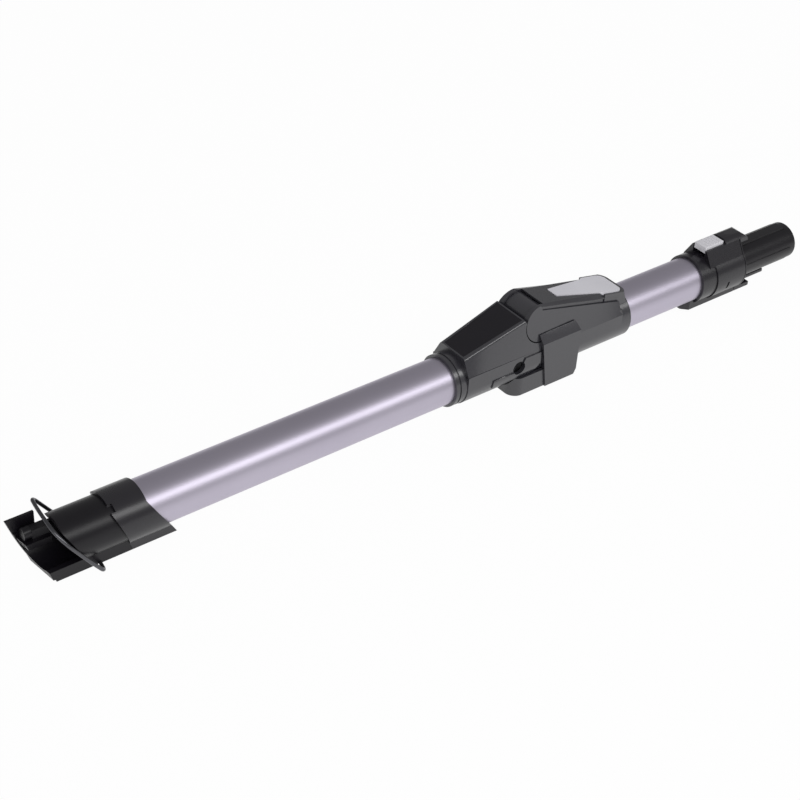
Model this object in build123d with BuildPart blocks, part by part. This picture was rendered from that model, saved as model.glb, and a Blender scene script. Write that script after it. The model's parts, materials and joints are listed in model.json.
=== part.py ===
from build123d import *
from math import acos, cos, degrees, radians, sin, sqrt
import os

os.makedirs("parts", exist_ok=True)

# A folding vacuum wand, in millimetres. X runs along the wand from the open socket at the floor end
# to the spigot at the handle end, with X = 0 at the shoulder where the spigot leaves its collar.
# Z is up, on the side of the buttons, and the tubes' axis is the X axis.

# Clearances
fit_gap = 0.1        # a tube or a spigot in its sleeve
run_gap = 0.05       # a pin that turns in its bore
move_gap = 0.8       # between housings that swing past each other
slide_gap = 0.35     # round a button in its opening
touch_gap = 0.3      # between soft or sprung pieces and their neighbours

# Tubes
tube_d = 35.0
tube_wall = 1.3
tube_overlap = 26.0
tube_r = tube_d / 2
tube_bore_r = tube_r - tube_wall
sleeve_r = tube_r + fit_gap

# The hinge pin's axis, in the mirror plane and above the tubes
pin_x = -219.5
pin_z = tube_r + 12.5

# Hinge knuckle
pin_r = 3.0
pin_end_wall = 2.4
barrel_r = 11.5
barrel_half = 11.3
ear_r = 13.5
ear_gap = 0.3
cap_r = 5.0
cap_depth = 2.0
notch_angle = 38.0
notch_depth = 2.0
notch_half = 1.5
arm_length = 50.0
arm_foot_z = tube_r + 3.5
arm_head_z = pin_z - 1.5

# Hinge housings
tube_end_to_pin = 33.0
lower_hinge_length = 77.0
upper_hinge_length = 92.0
shell_half = tube_r + 2.8
shell_wall = 2.3
roof_wall = 2.2
seam_z = 10.0
split_gap = 0.5
end_ring_r = tube_r + 2.2
end_groove = 0.7
end_groove_start = 3.0
end_groove_width = 1.2
upper_slope = 0.208
upper_flat_half = 11.4
upper_side_half = shell_half - 6.0
upper_bevel = 0.5
upper_bevel_growth = 0.042
roof_lip = 5.0
upper_cover_length = 82.0
upper_end_rake = 5.0
side_groove_lead = 2.0
side_groove_high = 3.0
side_groove_wide = 1.4
side_groove_deep = 1.0
side_groove_foot = 4.0
lower_cover_length = 67.5
lower_top_gap = 14.8
lower_half_end = end_ring_r - 6.5
lower_half_hinge = shell_half - 4.1
lower_roof_fillet = 2.6
lower_end_z = tube_r + 5.1
lower_hinge_z = pin_z + 7.5
lower_brow_back = 13.5
lower_brow_drop = 2.8
pad_proud = 0.9
pad_low_z = -8.0
pad_mid_z = -1.2
pad_high_z = 8.0
pad_length = 44.0
pad_corner = 6.0
pad_step = 15.0
pad_slope = 5.0
side_hole_r = 5.2
side_hole_back = 20.2
side_hole_z = 1.2

# Inlay on the lower cover
inlay_depth = 0.8
inlay_margin = 2.5
inlay_end = 1.3
inlay_gap = 0.1

# Guard under the hinge
guard_half = shell_half + 2.7
guard_tongue_half = shell_half + 1.3
guard_bottom_z = -shell_half - 4.1
guard_wrap_gap = 0.5
guard_front = 24.5
guard_rear = 36.5
guard_shoulder_z = pin_z - 15.0
guard_top_z = pin_z - 8.0
guard_edge_low = 6.5
guard_edge_high = 1.6
guard_tongue_z = -8.7
guard_corner_r = 9.0
guard_top_back = 3.0
guard_heel_x = 2.4
guard_heel_z = 5.0
guard_shoulder_in = 4.0
guard_fillet = 1.0

# Hose through the hinge
hose_bore_r = tube_bore_r - 2.6
hose_root_r = tube_bore_r - 1.3
hose_crest_r = tube_r - 0.9
hose_wall = 0.9
hose_folds = 9
fold_step = 0.3
cuff_flange = 2.5
cuff_plug = 12.0

# Release button, its lever and its spring
button_front = 24.5
button_rear = 4.5
button_half_front = 5.0
button_half_neck = 10.4
button_half_round = 12.4
button_tail_r = 5.5
button_neck = 24.0
button_step = 3.5
button_thick = 2.4
button_proud = 0.7
tail_rim = 1.3
tail_taper = 15.0
pivot_back = 30.0
pivot_drop = 6.0
pivot_r = 1.5
pivot_half = 9.4
cheek_half = 7.0
cheek_length = 6.0
cheek_low_z = pin_z - 1.5
lever_half = 3.5
lever_thick = 3.0
lever_reach = 20.0
lever_nose_back = 15.0
lever_nose_drop = 1.6
lever_neck_drop = 1.3
lever_neck_step = 0.7
nose_spread = 4.0
spring_lead = 16.0
spring_wire_r = 0.4
spring_coil_r = 3.0
spring_turns = 6
seat_half = 6.0
seat_thick = 2.0
boss_r = 3.8
boss_drop = 1.0
opening_low_z = shell_half

# Wire ducts inside the tubes
duct_height = 3.6
duct_wall = 1.0
duct_end = 14.0

# Handle-end collar with its turret and rail
collar_length = 48.0
neck_length = 15.5
neck_r = tube_r + 2.1
collar_r = tube_r + 3.0
turret_lead = 10.0
turret_half = 7.8
turret_foot_half = neck_r - 4.9
turret_foot_z = collar_r - 6.5
turret_z = collar_r + 5.1
rail_half = neck_r - 7.4
rail_proud = 0.1
rail_top_z = 6.5 - tube_r
rail_lead = 9.5
rail_tail = 6.5
rail_toe = 15.5
rail_toe_z = rail_proud - neck_r + 2.3
rail_corner = 5.0
collar_groove_back = 1.6
collar_groove_width = 0.6
grip_slot_back = 19.5
grip_slot_angle = 104.0
grip_slot_width = 2.0
grip_slot_height = 7.0

# Catch button in the turret, and the hood behind it
catch_lead = 0.5
catch_length = 20.0
catch_half = 5.9
catch_top_z = collar_r + 8.1
catch_travel = 3.0
catch_floor_z = tube_r + 1.9
catch_ribs = 5
catch_rib = 0.6
catch_roof = 2.4
hood_gap = 1.1
hood_tail = 9.0
hood_half = 8.2
hood_z = collar_r + 9.1
hood_tail_z = collar_r + 2.9
hood_side_drop = 4.0
hood_lip = 0.7
hood_crown_start = 5.0
hood_crown_end = 7.0
hood_heel = 2.0
hood_heel_rise = 2.5

# Spigot, and the contact tongue below it
spigot_length = 64.0
spigot_r = tube_bore_r - 1.2
spigot_wall = 2.2
spigot_insert = collar_length - tube_overlap - 2 * fit_gap
key_half = 3.8
key_proud = 0.6
rib_half = 1.2
rib_angle = 84.0
groove_depth = 0.5
groove_half = 0.5
groove_angle = 18.0
key_length = 57.0
lead_length = 6.5
lead_drop = 0.3
tip_chamfer = 0.5
tongue_length = 39.5
tongue_half = 6.0
tongue_thick = 3.2
tongue_drop = 1.2
blade_half = 1.4
blade_pitch = 5.6
blade_thick = 0.5
blade_length = 26.0

# Floor-end socket
lower_reach = 324.5
socket_collar_length = 24.5
socket_collar_r = tube_r + 2.2
socket_r = tube_r + 0.3
socket_bore_r = tube_bore_r - 0.8
socket_depth = 46.0
seat_wall = 3.0
insert_bore_r = tube_bore_r - 2.0
mouth_length = 33.5
tip_length = 23.8
tip_yaw = 0.12
sweep_z = 14.0
collar_sweep = 0.62
step_sweep = 0.40
mouth_sweep = 0.56
tip_sweep = 0.35
lip_near_z = -12.8
lip_far_z = 3.0
lip_split_y = 4.0
fin_length = 19.5
sole_lead = 17.5
sole_drop = 2.0
fin_z = 14.2
fin_thick = 1.8
neck_insert = 20.0
step_notch = 6.0
step_notch_angle = 122.0

# Terminal block in the socket
block_low_z = -4.0
block_high_z = 8.5
block_near_y = 6.5
port_length = 9.0
port_wall = 1.6
block_lead = 3.6
block_setback = 0.6
block_length = 21.0
port_r = 3.0
port_y = 11.0
port_z = 5.0
port_depth = 4.0
terminal_r = 1.1
terminal_z = -1.7
terminal_length = 15.0
shelf_top_z = 0.6
shelf_near_y = 4.2

# Wire ring round the mouth
ring_wire_r = 1.25
ring_seat = 0.6
ring_groove_gap = 0.2
ring_reach = socket_r + 10.6
ring_rake = 0.78
ring_yaw = 0.18
ring_back = 48.2
ring_bend_r = 3.6
ring_point_angle = 46.0

# Screws
screw_r = 1.5
screw_head_r = 2.9
screw_head = 1.5
screw_recess = 0.3
screw_stop_r = tube_bore_r + fit_gap
slot_width = 0.9
slot_depth = 0.9

# Places worked out from the sizes above
lower_hinge_x = pin_x - lower_hinge_length
upper_hinge_x = pin_x + upper_hinge_length
lower_tube_end_x = pin_x - tube_end_to_pin
upper_tube_start_x = pin_x + tube_end_to_pin
upper_tube_end_x = tube_overlap - collar_length
socket_end_x = pin_x - lower_reach
socket_step_x = socket_end_x - socket_collar_length
mouth_x = socket_step_x - mouth_length
tip_x = mouth_x - tip_length
seat_x = mouth_x + socket_depth
lower_tube_start_x = seat_x + seat_wall
lower_cover_x = pin_x - lower_cover_length
lower_top_x = pin_x - lower_top_gap
lower_slope = (lower_hinge_z - lower_end_z) / (lower_top_x - lower_cover_x)
lower_flare = (lower_half_hinge - lower_half_end) / (lower_top_x - lower_cover_x)
upper_cover_x = pin_x + upper_cover_length
fold_clear_r = ear_r + move_gap
button_length = upper_cover_length + button_rear - button_front
spring_back = upper_cover_length - spring_lead
turret_length = collar_length - turret_lead
catch_back = turret_length - catch_lead
hood_back = catch_back - catch_length - hood_gap
pocket_r = barrel_r + ear_gap + 0.2
ear_half = barrel_half + ear_gap
shell_bore_r = shell_half - shell_wall
far_out = 3 * tube_d


def write(piece, label):
    """Label a finished piece and write its STEP file."""
    piece.part.label = label
    export_step(piece.part, f"parts/{label}.step")


def upper_top_z(x):
    """Height of the upper cover's flat top, which leaves the ears' round at a tangent."""
    return pin_z + ear_r * sqrt(1 + upper_slope**2) - upper_slope * (x - pin_x)


def lower_top_z(x):
    """Height of the lower cover's flat top."""
    return lower_end_z + lower_slope * (x - lower_cover_x)


def bevel_drop(x):
    """Depth of the bevel beside the upper cover's flat top."""
    return upper_bevel + upper_bevel_growth * (x - pin_x)


def ear_outer(z):
    """Half-width over the ears at a height."""
    side_z = upper_top_z(pin_x) - bevel_drop(pin_x)
    return upper_side_half + (shell_half - upper_side_half) * (side_z - z) / (side_z - seam_z)


def sleeve(x_start, x_end, outer_r, inner_r=0, mode=Mode.ADD):
    """A round sleeve, or a round bar, about the tubes' axis."""
    with BuildSketch(Plane.YZ.offset(x_start)) as ring:
        Circle(outer_r)
        if inner_r:
            Circle(inner_r, mode=Mode.SUBTRACT)
    extrude(ring.sketch, amount=x_end - x_start, mode=mode)


def side_slab(points, y_start, y_end, mode=Mode.ADD):
    """A slab standing along the wand between two y limits, from an outline of (x, z) points."""
    with BuildSketch(Plane.XZ.offset(-y_end)) as outline:
        with BuildLine():
            Polyline(*points, close=True)
        make_face()
    extrude(outline.sketch, amount=y_end - y_start, mode=mode)


def side_prism(points, half, mode=Mode.ADD):
    """A prism across the wand, to both sides of its mirror plane, from an outline of (x, z) points."""
    side_slab(points, -half, half, mode)


def cross_round(x, z, r, half, mode=Mode.ADD):
    """A round bar across the wand, to both sides of its mirror plane."""
    with BuildSketch(Plane.XZ) as disc:
        with Locations((x, z)):
            Circle(r)
    extrude(disc.sketch, amount=half, both=True, mode=mode)


def block(x_range, y_range, z_range, mode=Mode.ADD):
    """A plain block between pairs of limits."""
    with BuildSketch(Plane.XY.offset(z_range[0])) as foot:
        with Locations(((x_range[0] + x_range[1]) / 2, (y_range[0] + y_range[1]) / 2)):
            Rectangle(x_range[1] - x_range[0], y_range[1] - y_range[0])
    extrude(foot.sketch, amount=z_range[1] - z_range[0], mode=mode)


def roof_loft(stations, mode=Mode.ADD):
    """A loft along the wand through roof-shaped sections, each given by the corners of its +Y side."""
    sections = []
    for x, corners in stations:
        mirrored = [(-y, z) for y, z in reversed(corners)]
        with BuildSketch(Plane.YZ.offset(x)) as section:
            with BuildLine():
                Polyline(*corners, *mirrored, close=True)
            make_face()
        sections.append(section.sketch.faces()[0])
    loft(sections, ruled=True, mode=mode)


def trough_bar(x_start, x_end, half, top_z, mode=Mode.ADD):
    """A bar along the wand: a half round below the axis, with upright sides to a given height."""
    with BuildSketch(Plane.YZ.offset(x_start)) as section:
        with BuildLine():
            Polyline((half, 0), (half, top_z), (-half, top_z), (-half, 0))
            ThreePointArc((-half, 0), (0, -half), (half, 0))
        make_face()
    extrude(section.sketch, amount=x_end - x_start, mode=mode)


def swept_edge(x_top, sweep):
    """The edge line of a socket part: upright above sweep_z, then leaning along the wand below it."""
    low_z = sweep_z - far_out
    return [(x_top, far_out), (x_top, sweep_z), (x_top + sweep * far_out, low_z)]


def keep_right_of(x_top, sweep, half=far_out):
    """Cut off what lies to the floor side of a swept edge."""
    edge = swept_edge(x_top, sweep)
    side_prism(edge + [(tip_x - far_out, edge[2][1]), (tip_x - far_out, far_out)], half, Mode.SUBTRACT)


def keep_left_of(x_top, sweep, half=far_out):
    """Cut off what lies to the handle side of a swept edge."""
    edge = swept_edge(x_top, sweep)
    side_prism(edge + [(far_out, edge[2][1]), (far_out, far_out)], half, Mode.SUBTRACT)


def rail(x_start, x_end, bottom_z):
    """The flat-sided rail under an end fitting."""
    block((x_start, x_end), (-rail_half, rail_half), (bottom_z, rail_top_z))


def radial_plane(x, angle, r):
    """A plane square to the radius at an angle about the tubes' axis, counted from +Y towards +Z."""
    out = Vector(0, cos(radians(angle)), sin(radians(angle)))
    return Plane(origin=out * r + Vector(x, 0, 0), x_dir=(1, 0, 0), z_dir=out)


def top_plane(x, z, slope):
    """A plane on a sloping roof, its own x running along the wand."""
    return Plane(origin=(x, 0, z), x_dir=(1, 0, slope), z_dir=(-slope, 0, 1))


def screw(plane, stop_r=screw_stop_r):
    """A pan-head screw with a slot, its head's outer face on the plane and its tip at a given radius."""
    length = abs(plane.origin.Z) - screw_head - stop_r
    with BuildSketch(plane) as head:
        Circle(screw_head_r)
    extrude(head.sketch, amount=-screw_head)
    with BuildSketch(plane.offset(-screw_head)) as shank:
        Circle(screw_r)
    extrude(shank.sketch, amount=-length)
    with BuildSketch(plane) as slot:
        Rectangle(2 * screw_head_r, slot_width)
    extrude(slot.sketch, amount=-slot_depth, mode=Mode.SUBTRACT)


def screw_seat(plane):
    """The stepped hole for such a screw."""
    with BuildSketch(plane.offset(far_out)) as head:
        Circle(screw_head_r + fit_gap)
    extrude(head.sketch, amount=-far_out - screw_head - fit_gap / 2, mode=Mode.SUBTRACT)
    with BuildSketch(plane) as shank:
        Circle(screw_r + fit_gap)
    extrude(shank.sketch, amount=-abs(plane.origin.Z), mode=Mode.SUBTRACT)


def ring_points():
    """Points along the wire ring: a round that hugs the socket, drawn out to two opposite tips."""
    hug_r = socket_r + ring_wire_r - ring_seat
    bend_u = ring_reach - ring_bend_r
    touch = degrees(acos((hug_r - ring_bend_r) / bend_u))
    bend_steps = 4
    hug_steps = 6
    outline = []
    for turn in (0, 180):
        for step in range(bend_steps + 1):
            angle = radians(touch * (2 * step / bend_steps - 1))
            outline.append((turn, bend_u + ring_bend_r * cos(angle), ring_bend_r * sin(angle)))
        for step in range(hug_steps + 1):
            angle = radians(touch + (180 - 2 * touch) * step / hug_steps)
            outline.append((turn, hug_r * cos(angle), hug_r * sin(angle)))
    points = []
    for turn, u, v in outline:
        angle = radians(turn + ring_point_angle)
        y = u * cos(angle) - v * sin(angle)
        z = u * sin(angle) + v * cos(angle)
        points.append(Vector(socket_end_x - ring_back + ring_yaw * y - ring_rake * z, y, z))
    return points


def wire_loop(r, mode=Mode.ADD):
    """A round wire along the ring's path."""
    ring = Edge.make_spline(ring_points(), periodic=True)
    for half in (ring.trim(0, 0.5), ring.trim(0.5, 1)):
        section = Face(Wire.make_circle(r, Plane(origin=half @ 0, z_dir=half % 0)))
        add(Solid.sweep(section, half), mode=mode)


def coil(x, z_low, z_high, turns):
    """A compression spring standing on end."""
    height = z_high - z_low - 2 * spring_wire_r
    path = Edge.make_helix(height / turns, height, spring_coil_r, center=(x, 0, z_low + spring_wire_r))
    section = Face(Wire.make_circle(spring_wire_r, Plane(origin=path @ 0, z_dir=path % 0)))
    add(Solid.sweep(section, path, is_frenet=True))


def swept_rail(x_start, x_end, bottom_z):
    """The rail of an end fitting, its corners cut off at the start."""
    with BuildSketch(Plane.XY.offset(bottom_z)) as foot:
        with BuildLine():
            Polyline((x_start + rail_corner, -rail_half), (x_end, -rail_half), (x_end, rail_half),
                     (x_start + rail_corner, rail_half), (x_start, rail_half - rail_corner),
                     (x_start, rail_corner - rail_half), close=True)
        make_face()
    extrude(foot.sketch, amount=rail_top_z - bottom_z)


def upper_cover_stations(gap, x_start, x_end):
    """Sections of the upper cover, moved outwards by a gap or inwards by a negative one."""
    stations = []
    for x in (x_start, x_end):
        top_z = upper_top_z(x) + gap
        stations.append((x, [(shell_half + gap, seam_z), (upper_side_half + gap, top_z - bevel_drop(x)),
                             (upper_flat_half + gap / 2, top_z)]))
    return stations


def lower_cover_stations(gap, x_start, x_end):
    """Sections of the lower cover, moved outwards by a gap or inwards by a negative one."""
    stations = []
    for x in (x_start, x_end):
        share = (x - lower_cover_x) / lower_cover_length
        top_half = lower_half_end + lower_flare * (x - lower_cover_x) + gap
        foot_half = end_ring_r + (shell_half - end_ring_r) * share + gap
        stations.append((x, [(foot_half, seam_z), (top_half, lower_top_z(x) + gap)]))
    return stations


def button_outline(gap, z):
    """The release button from above, grown by a gap: a long taper, a step and a tail with round corners."""
    front = pin_x + button_front
    tail = front + button_length
    neck = tail - button_neck
    shoulder = neck + button_step
    with BuildSketch(Plane.XY.offset(z)) as outline:
        with BuildLine():
            Polyline((tail + gap, button_half_round + gap), (shoulder, button_half_round + gap),
                     (neck, button_half_neck + gap), (front - gap, button_half_front + gap),
                     (front - gap, -button_half_front - gap), (neck, -button_half_neck - gap),
                     (shoulder, -button_half_round - gap), (tail + gap, -button_half_round - gap), close=True)
        make_face()
        fillet(outline.vertices().sort_by(Axis.X)[-2:], button_tail_r + gap)
    return outline.sketch


def button_prism(gap, low_z, high_z, mode=Mode.ADD):
    """The button's outline carried upright between two heights."""
    extrude(button_outline(gap, low_z), amount=high_z - low_z, mode=mode)


def pad_outline():
    """The raised field on the side of the lower shell, seen from the side."""
    right = pin_x + touch_gap
    return [(pin_x - pad_length, pad_low_z), (right - pad_corner, pad_low_z), (right, pad_mid_z),
            (right, pad_high_z), (right - pad_step, pad_high_z), (right - pad_step - pad_slope, pad_mid_z),
            (pin_x - pad_length, pad_mid_z)]


def duct(x_start, x_end):
    """A wire duct lying on the floor of a tube's bore."""
    outer_r = tube_bore_r - fit_gap
    low_z = -outer_r
    sleeve(x_start, x_end, outer_r)
    block((x_start, x_end), (-outer_r, outer_r), (low_z, low_z + duct_height), Mode.INTERSECT)
    with BuildSketch(Plane.YZ.offset(x_start)) as hollow:
        Circle(outer_r - duct_wall)
        with Locations((0, low_z + duct_height - duct_wall)):
            Rectangle(far_out, far_out, align=(Align.CENTER, Align.MIN), mode=Mode.SUBTRACT)
    extrude(hollow.sketch, amount=x_end - x_start, mode=Mode.SUBTRACT)


def cuff(x_face, way):
    """An end cuff of the hose: a flange against the tube's end and a plug in its bore."""
    sleeve(min(x_face, x_face + way * cuff_flange), max(x_face, x_face + way * cuff_flange), tube_r,
           hose_bore_r)
    sleeve(min(x_face, x_face - way * cuff_plug), max(x_face, x_face - way * cuff_plug),
           tube_bore_r - fit_gap, hose_bore_r)


def bottom_screws(x_start, x_end, r):
    """Places of two screws in the underside, at the two thirds of a stretch."""
    places = [x_start + (x_end - x_start) * share for share in (1 / 3, 2 / 3)]
    return [radial_plane(x, -90, r - screw_recess) for x in places]


lower_screws = bottom_screws(lower_hinge_x, lower_tube_end_x - cuff_plug, shell_half)
upper_screws = bottom_screws(pin_x + guard_rear, upper_hinge_x, shell_half)
guard_screw_planes = bottom_screws(pin_x, pin_x + guard_rear, -guard_bottom_z)
collar_screw_planes = bottom_screws(-collar_length, upper_tube_end_x, collar_r)
socket_screw_planes = bottom_screws(lower_tube_start_x, lower_tube_start_x + 2 * neck_insert, socket_collar_r)

# The lower tube and its duct
with BuildPart() as lower_tube:
    sleeve(lower_tube_start_x, lower_tube_end_x, tube_r, tube_bore_r)
    for plane in lower_screws + socket_screw_planes:
        screw_seat(plane)
write(lower_tube, "lower_tube")

with BuildPart() as lower_wire_duct:
    duct(lower_tube_start_x + neck_insert + duct_end, lower_tube_end_x - cuff_plug - duct_end)
write(lower_wire_duct, "lower_wire_duct")

def cut_tip(setback):
    """Cut off what stands ahead of the tip's slanted plane, moved back along the wand."""
    with BuildSketch(Plane(origin=(tip_x + setback, socket_r, sweep_z), z_dir=(-1, -tip_yaw, -tip_sweep))) as tip:
        Circle(far_out)
    extrude(tip.sketch, amount=far_out, mode=Mode.SUBTRACT)


# The socket at the floor end: rail, round body, open trough ahead of the mouth, and a standing fin
socket_rail_z = -socket_collar_r - rail_proud
with BuildPart() as socket_shell:
    rail(tip_x, socket_end_x, socket_rail_z)
    block((tip_x + sole_lead, socket_end_x), (-rail_half, rail_half), (socket_rail_z - sole_drop, rail_top_z))
    keep_left_of(socket_step_x - fit_gap, step_sweep)
    sleeve(tip_x, lower_tube_start_x - fit_gap, socket_r)
    for y_start, y_end, lip_z in ((-far_out, lip_split_y, lip_near_z), (lip_split_y, far_out, lip_far_z)):
        window = [(tip_x - far_out, far_out), (mouth_x, far_out), (mouth_x, sweep_z),
                  (mouth_x + mouth_sweep * (sweep_z - lip_z), lip_z), (tip_x - far_out, lip_z)]
        side_slab(window, y_start, y_end, Mode.SUBTRACT)
    block((tip_x, tip_x + fin_length), (socket_r - fin_thick + touch_gap, socket_r + touch_gap), (0, fin_z))
    cut_tip(0)
    sleeve(tip_x - far_out, seat_x, socket_bore_r, mode=Mode.SUBTRACT)
    sleeve(lower_tube_start_x - 2 * fit_gap, lower_tube_start_x + neck_insert, tube_bore_r - fit_gap)
    sleeve(seat_x - fit_gap, lower_tube_start_x + neck_insert, insert_bore_r, mode=Mode.SUBTRACT)
    wire_loop(ring_wire_r + ring_groove_gap, Mode.SUBTRACT)
    for plane in socket_screw_planes:
        screw_seat(plane)
write(socket_shell, "socket_shell")

with BuildPart() as socket_collar:
    sleeve(socket_step_x, socket_end_x + far_out, socket_collar_r)
    rail(socket_step_x, socket_end_x + far_out, socket_rail_z - sole_drop)
    keep_right_of(socket_step_x, step_sweep)
    keep_left_of(socket_end_x, collar_sweep)
    sleeve(socket_step_x, lower_tube_start_x, socket_r + fit_gap, mode=Mode.SUBTRACT)
    sleeve(lower_tube_start_x, far_out, sleeve_r, mode=Mode.SUBTRACT)
    with BuildSketch(radial_plane(socket_step_x, step_notch_angle, socket_r)) as notch:
        Rectangle(step_notch, step_notch)
    extrude(amount=far_out, mode=Mode.SUBTRACT)
    for plane in socket_screw_planes:
        screw_seat(plane)
write(socket_collar, "socket_collar")

# Contacts beside the mouth
block_x = tip_x + block_lead
with BuildPart() as terminal_block:
    block((block_x + port_length, block_x + block_length), (block_near_y, socket_r), (block_low_z, block_high_z))
    block((block_x, block_x + block_length), (shelf_near_y, socket_r), (block_low_z, shelf_top_z))
    with BuildSketch(Plane.YZ.offset(block_x)) as port_boss:
        with Locations((port_y, port_z)):
            Circle(port_r + port_wall)
    extrude(port_boss.sketch, amount=port_length)
    block((block_x, block_x + port_length), (port_y - terminal_r, port_y + terminal_r), (block_low_z, port_z))
    sleeve(block_x, block_x + block_length, socket_bore_r - fit_gap, mode=Mode.INTERSECT)
    cut_tip(block_setback)
    with BuildSketch(Plane.YZ.offset(block_x)) as port:
        with Locations((port_y, port_z)):
            Circle(port_r)
    extrude(amount=port_depth, mode=Mode.SUBTRACT)
    with BuildSketch(Plane.YZ.offset(block_x)) as bores:
        with Locations((port_y, terminal_z), (port_y - 3 * terminal_r, terminal_z)):
            Circle(terminal_r + run_gap)
    extrude(amount=terminal_length, mode=Mode.SUBTRACT)
write(terminal_block, "terminal_block")

terminal_x = block_x + tip_sweep * (port_z - terminal_z) + 2 * terminal_r
with BuildPart() as terminal_pins:
    with BuildSketch(Plane.YZ.offset(terminal_x)) as rods:
        with Locations((port_y, terminal_z), (port_y - 3 * terminal_r, terminal_z)):
            Circle(terminal_r)
    extrude(amount=block_x + terminal_length - terminal_x)
    chamfer(terminal_pins.faces().sort_by(Axis.X)[:2].edges(), terminal_r / 3)
write(terminal_pins, "terminal_pins")

with BuildPart() as wire_ring:
    wire_loop(ring_wire_r)
write(wire_ring, "wire_ring")

with BuildPart() as socket_screws:
    for plane in socket_screw_planes:
        screw(plane)
write(socket_screws, "socket_screws")

# The lower half of the hinge
with BuildPart() as lower_hinge_shell:
    side_prism(pad_outline(), far_out)
    trough_bar(lower_hinge_x, pin_x + touch_gap, shell_half + pad_proud, seam_z, Mode.INTERSECT)
    trough_bar(lower_cover_x, pin_x + touch_gap, shell_half, seam_z)
    trough_bar(lower_cover_x, pin_x + touch_gap, shell_bore_r, seam_z, Mode.SUBTRACT)
    cross_round(pin_x - side_hole_back, side_hole_z, side_hole_r, far_out, Mode.SUBTRACT)
    sleeve(lower_hinge_x, lower_cover_x, end_ring_r, sleeve_r)
    groove_x = lower_hinge_x + end_groove_start
    sleeve(groove_x, groove_x + end_groove_width, far_out, end_ring_r - end_groove, Mode.SUBTRACT)
    for plane in lower_screws:
        screw_seat(plane)
write(lower_hinge_shell, "lower_hinge_shell")

inlay_plane = top_plane(lower_cover_x, lower_end_z, lower_slope)
inlay_length = (lower_top_x - lower_cover_x) * sqrt(1 + lower_slope**2)


def inlay(gap, thick, mode):
    """The inlay's field on the lower cover, or the pocket that holds it."""
    low_half = lower_half_end - inlay_margin + gap
    high_half = lower_half_hinge - inlay_margin + gap
    start = inlay_end - gap
    end = inlay_length - inlay_end + gap
    with BuildSketch(inlay_plane.offset(-inlay_depth)) as field:
        with BuildLine():
            Polyline((start, -low_half), (end, -high_half), (end, high_half), (start, low_half), close=True)
        make_face()
    extrude(field.sketch, amount=thick, mode=mode)


def is_roof_edge(edge):
    """Whether an edge is one of the two long ones beside the lower cover's top."""
    return edge.length > lower_cover_length / 2 and (edge @ 0.5).Z > tube_r


with BuildPart() as lower_hinge_cover:
    roof_loft(lower_cover_stations(0, lower_cover_x, pin_x + touch_gap))
    with BuildSketch(Plane.XZ) as profile:
        with BuildLine():
            Polyline((lower_cover_x, seam_z), (pin_x + touch_gap, seam_z), (pin_x + touch_gap, pin_z),
                     (pin_x - lower_brow_back, lower_hinge_z - lower_brow_drop), (lower_top_x, lower_hinge_z),
                     (lower_cover_x, lower_end_z), close=True)
        make_face()
    extrude(amount=far_out, both=True, mode=Mode.INTERSECT)
    fillet(lower_hinge_cover.edges().filter_by(is_roof_edge), lower_roof_fillet)
    roof_loft(lower_cover_stations(-roof_wall, lower_cover_x + roof_wall, pin_x + far_out), Mode.SUBTRACT)
    cross_round(pin_x, pin_z, fold_clear_r, far_out, Mode.SUBTRACT)
    sleeve(lower_cover_x, pin_x, sleeve_r, mode=Mode.SUBTRACT)
    inlay(0, far_out, Mode.SUBTRACT)
write(lower_hinge_cover, "lower_hinge_cover")

with BuildPart() as inlay_plate:
    inlay(-inlay_gap, inlay_depth - inlay_gap, Mode.ADD)
write(inlay_plate, "inlay_plate")

with BuildPart() as knuckle_arm:
    arm_x = pin_x - arm_length
    side_prism([(arm_x, seam_z), (lower_tube_end_x, seam_z), (lower_tube_end_x, pin_z - barrel_r),
                (pin_x, pin_z - barrel_r), (pin_x, arm_head_z), (pin_x - 2 * barrel_r, arm_head_z),
                (arm_x, arm_foot_z)], barrel_half)
    cross_round(pin_x, pin_z, barrel_r, barrel_half)
    sleeve(arm_x, lower_tube_end_x, sleeve_r, mode=Mode.SUBTRACT)
    cross_round(pin_x, pin_z, pin_r + run_gap, far_out, Mode.SUBTRACT)
    latch_way = Vector(cos(radians(notch_angle)), 0, sin(radians(notch_angle)))
    latch_seat = Vector(pin_x, 0, pin_z) + latch_way * (barrel_r - notch_depth)
    with BuildSketch(Plane(origin=latch_seat, x_dir=(0, 1, 0), z_dir=latch_way)) as notch:
        Rectangle(2 * (lever_half + move_gap), 2 * notch_half)
    extrude(amount=barrel_r, mode=Mode.SUBTRACT)
write(knuckle_arm, "knuckle_arm")

with BuildPart() as lower_hose_cuff:
    cuff(lower_tube_end_x, 1)
write(lower_hose_cuff, "lower_hose_cuff")

with BuildPart() as upper_hose_cuff:
    cuff(upper_tube_start_x, -1)
write(upper_hose_cuff, "upper_hose_cuff")

with BuildPart() as flex_hose:
    hose_start = lower_tube_end_x + cuff_flange + fit_gap
    hose_end = upper_tube_start_x - cuff_flange - touch_gap
    fold_length = (hose_end - hose_start) / hose_folds
    outer = [(hose_start, hose_root_r)]
    for fold in range(hose_folds):
        fold_x = hose_start + fold * fold_length
        for turn, r in enumerate((hose_crest_r, hose_crest_r, hose_root_r), 1):
            outer.append((fold_x + fold_length * fold_step * turn, r))
    outer.append((hose_end, hose_root_r))
    inner = [(x, r - hose_wall) for x, r in reversed(outer)]
    with BuildSketch(Plane.XY) as wall:
        with BuildLine():
            Polyline(*outer, *inner, close=True)
        make_face()
    revolve(axis=Axis.X)
write(flex_hose, "flex_hose")

with BuildPart() as lower_hinge_screws:
    for plane in lower_screws:
        screw(plane)
write(lower_hinge_screws, "lower_hinge_screws")

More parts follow.
